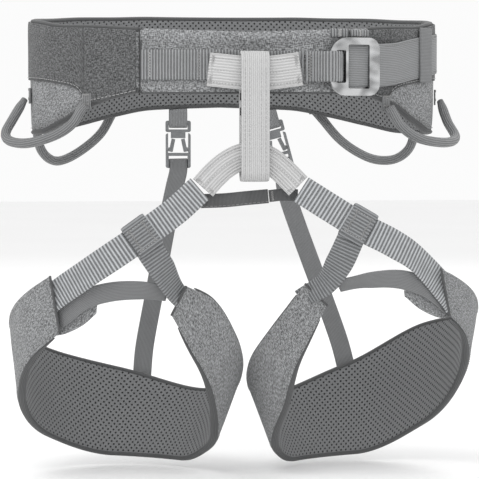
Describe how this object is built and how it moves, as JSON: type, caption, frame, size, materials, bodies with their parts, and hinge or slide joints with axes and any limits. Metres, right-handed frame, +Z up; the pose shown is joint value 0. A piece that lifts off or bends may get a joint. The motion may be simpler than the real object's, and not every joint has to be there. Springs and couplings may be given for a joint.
{
  "type": "climbing harness",
  "caption": "Padded climbing harness with a waist belt and side buckle, belay loop, tie-in points, clipped rear risers, gear loops and two leg loops with elastic fronts.",
  "frame": {"origin": "centre of the waist opening, at the middle height of the belt", "axes": "+Z up, -Y to the wearer's front, +X to the viewer's right when looking at the front"},
  "size_m": [0.3692, 0.2452, 0.3571],
  "materials": {
    "belt_dark": "heather woven",
    "belt_light": "heather woven",
    "mesh_lining": "perforated knit",
    "foam": "closed cell foam",
    "belt_webbing": "ribbed webbing",
    "tail_webbing": "fine ribbed webbing",
    "leg_webbing": "striped webbing",
    "white_webbing": "ribbed webbing",
    "cross_strap": "smooth webbing",
    "elastic": "elastic webbing",
    "gear_loop": "ribbed tube",
    "clip_plastic": "moulded",
    "buckle_metal": "polished"
  },
  "bodies": {
    "waist": {"waist_lining": "mesh_lining", "waist_foam": "foam", "waist_shell": "belt_light", "left_side_panel": "belt_dark", "right_side_panel": "belt_dark", "front_panel": "belt_light", "belt_webbing": "belt_webbing", "buckle_strap": "belt_webbing", "tail_webbing": "tail_webbing", "tail_keeper": "elastic", "hanger_tab": "belt_webbing", "sewn_end": "belt_webbing", "buckle_back_plate": "buckle_metal", "upper_tie_in_sleeve": "white_webbing", "lower_tie_in_sleeve": "white_webbing", "cross_strap_sleeve": "cross_strap", "cross_strap_end": "cross_strap", "left_belt_tab": "tail_webbing", "left_clip_base": "clip_plastic", "left_clip_frame": "clip_plastic", "left_rear_strap": "elastic", "right_belt_tab": "tail_webbing", "right_clip_base": "clip_plastic", "right_clip_frame": "clip_plastic", "right_rear_strap": "elastic"},
    "buckle_frame": {"buckle_frame": "buckle_metal"},
    "belay_loop": {"belay_loop": "white_webbing"},
    "front_left_gear_loop": {"front_left_gear_loop": "gear_loop"},
    "rear_left_gear_loop": {"rear_left_gear_loop": "gear_loop"},
    "front_right_gear_loop": {"front_right_gear_loop": "gear_loop"},
    "rear_right_gear_loop": {"rear_right_gear_loop": "gear_loop"},
    "left_leg": {"left_leg_shell": "belt_light", "left_leg_foam": "foam", "left_leg_lining": "mesh_lining", "left_front_webbing": "leg_webbing", "left_keeper_block": "leg_webbing", "left_cross_webbing": "leg_webbing", "left_thigh_elastic": "elastic", "left_thigh_tongue": "belt_light"},
    "right_leg": {"right_leg_shell": "belt_light", "right_leg_foam": "foam", "right_leg_lining": "mesh_lining", "right_front_webbing": "leg_webbing", "right_keeper_block": "leg_webbing", "right_cross_webbing": "leg_webbing", "right_thigh_elastic": "elastic", "right_thigh_tongue": "belt_light"},
    "left_clip_prong_outer": {"left_clip_prong_outer": "clip_plastic"},
    "left_clip_prong_inner": {"left_clip_prong_inner": "clip_plastic"},
    "right_clip_prong_outer": {"right_clip_prong_outer": "clip_plastic"},
    "right_clip_prong_inner": {"right_clip_prong_inner": "clip_plastic"}
  },
  "joints": [
    {"name": "left_leg_swing", "type": "hinge", "parent": "waist", "child": "left_leg", "pos_m": [0.0035, -0.1184, -0.085], "axis": [1, 0, 0], "range_deg": [-25, 12], "stiffness_Nm_per_rad": 0.5, "springref_deg": 11.46, "deforming": ["left_rear_strap"]},
    {"name": "right_leg_swing", "type": "hinge", "parent": "waist", "child": "right_leg", "pos_m": [0.0035, -0.1184, -0.085], "axis": [1, 0, 0], "range_deg": [-25, 12], "stiffness_Nm_per_rad": 0.5, "springref_deg": 11.46, "deforming": ["right_rear_strap"]},
    {"name": "belay_loop_twist", "type": "hinge", "parent": "waist", "child": "belay_loop", "pos_m": [0.0035, -0.1238, -0.0321], "axis": [0, 0, 1], "range_deg": [-6, 6]},
    {"name": "front_left_gear_loop_swing", "type": "hinge", "parent": "waist", "child": "front_left_gear_loop", "pos_m": [-0.1414, -0.04661, -0.0215], "axis": [-0.5344, 0.843, 0.0625], "range_deg": [0, 30]},
    {"name": "rear_left_gear_loop_swing", "type": "hinge", "parent": "waist", "child": "rear_left_gear_loop", "pos_m": [-0.11985, 0.07244, -0.0275], "axis": [0.7595, 0.6504, 0.0122], "range_deg": [0, 30]},
    {"name": "front_right_gear_loop_swing", "type": "hinge", "parent": "waist", "child": "front_right_gear_loop", "pos_m": [0.13608, -0.05178, -0.0225], "axis": [-0.5901, -0.8054, -0.0564], "range_deg": [0, 30]},
    {"name": "rear_right_gear_loop_swing", "type": "hinge", "parent": "waist", "child": "rear_right_gear_loop", "pos_m": [0.11619, 0.07328, -0.0275], "axis": [0.7731, -0.6342, -0.0108], "range_deg": [0, 30]},
    {"name": "buckle_frame_tilt", "type": "hinge", "parent": "waist", "child": "buckle_frame", "pos_m": [0.0621, -0.118, 0.0048], "axis": [0, 0, -1], "range_deg": [0, 22]},
    {"name": "left_clip_outer_flex", "type": "hinge", "parent": "waist", "child": "left_clip_prong_outer", "pos_m": [-0.0386, 0.1066, -0.0504], "axis": [0, -1, 0], "range_deg": [0, 6], "stiffness_Nm_per_rad": 0.02},
    {"name": "left_clip_inner_flex", "type": "hinge", "parent": "waist", "child": "left_clip_prong_inner", "pos_m": [-0.0308, 0.1066, -0.0504], "axis": [0, 1, 0], "range_deg": [0, 6], "stiffness_Nm_per_rad": 0.02},
    {"name": "right_clip_outer_flex", "type": "hinge", "parent": "waist", "child": "right_clip_prong_outer", "pos_m": [0.0498, 0.1052, -0.0501], "axis": [0, 1, 0], "range_deg": [0, 6], "stiffness_Nm_per_rad": 0.02},
    {"name": "right_clip_inner_flex", "type": "hinge", "parent": "waist", "child": "right_clip_prong_inner", "pos_m": [0.0423, 0.1052, -0.0521], "axis": [0, -1, 0], "range_deg": [0, 6], "stiffness_Nm_per_rad": 0.02}
  ],
  "couplings": [
    {"joint": "left_clip_inner_flex", "follows": "left_clip_outer_flex", "ratio": 1},
    {"joint": "right_clip_inner_flex", "follows": "right_clip_outer_flex", "ratio": 1}
  ]
}
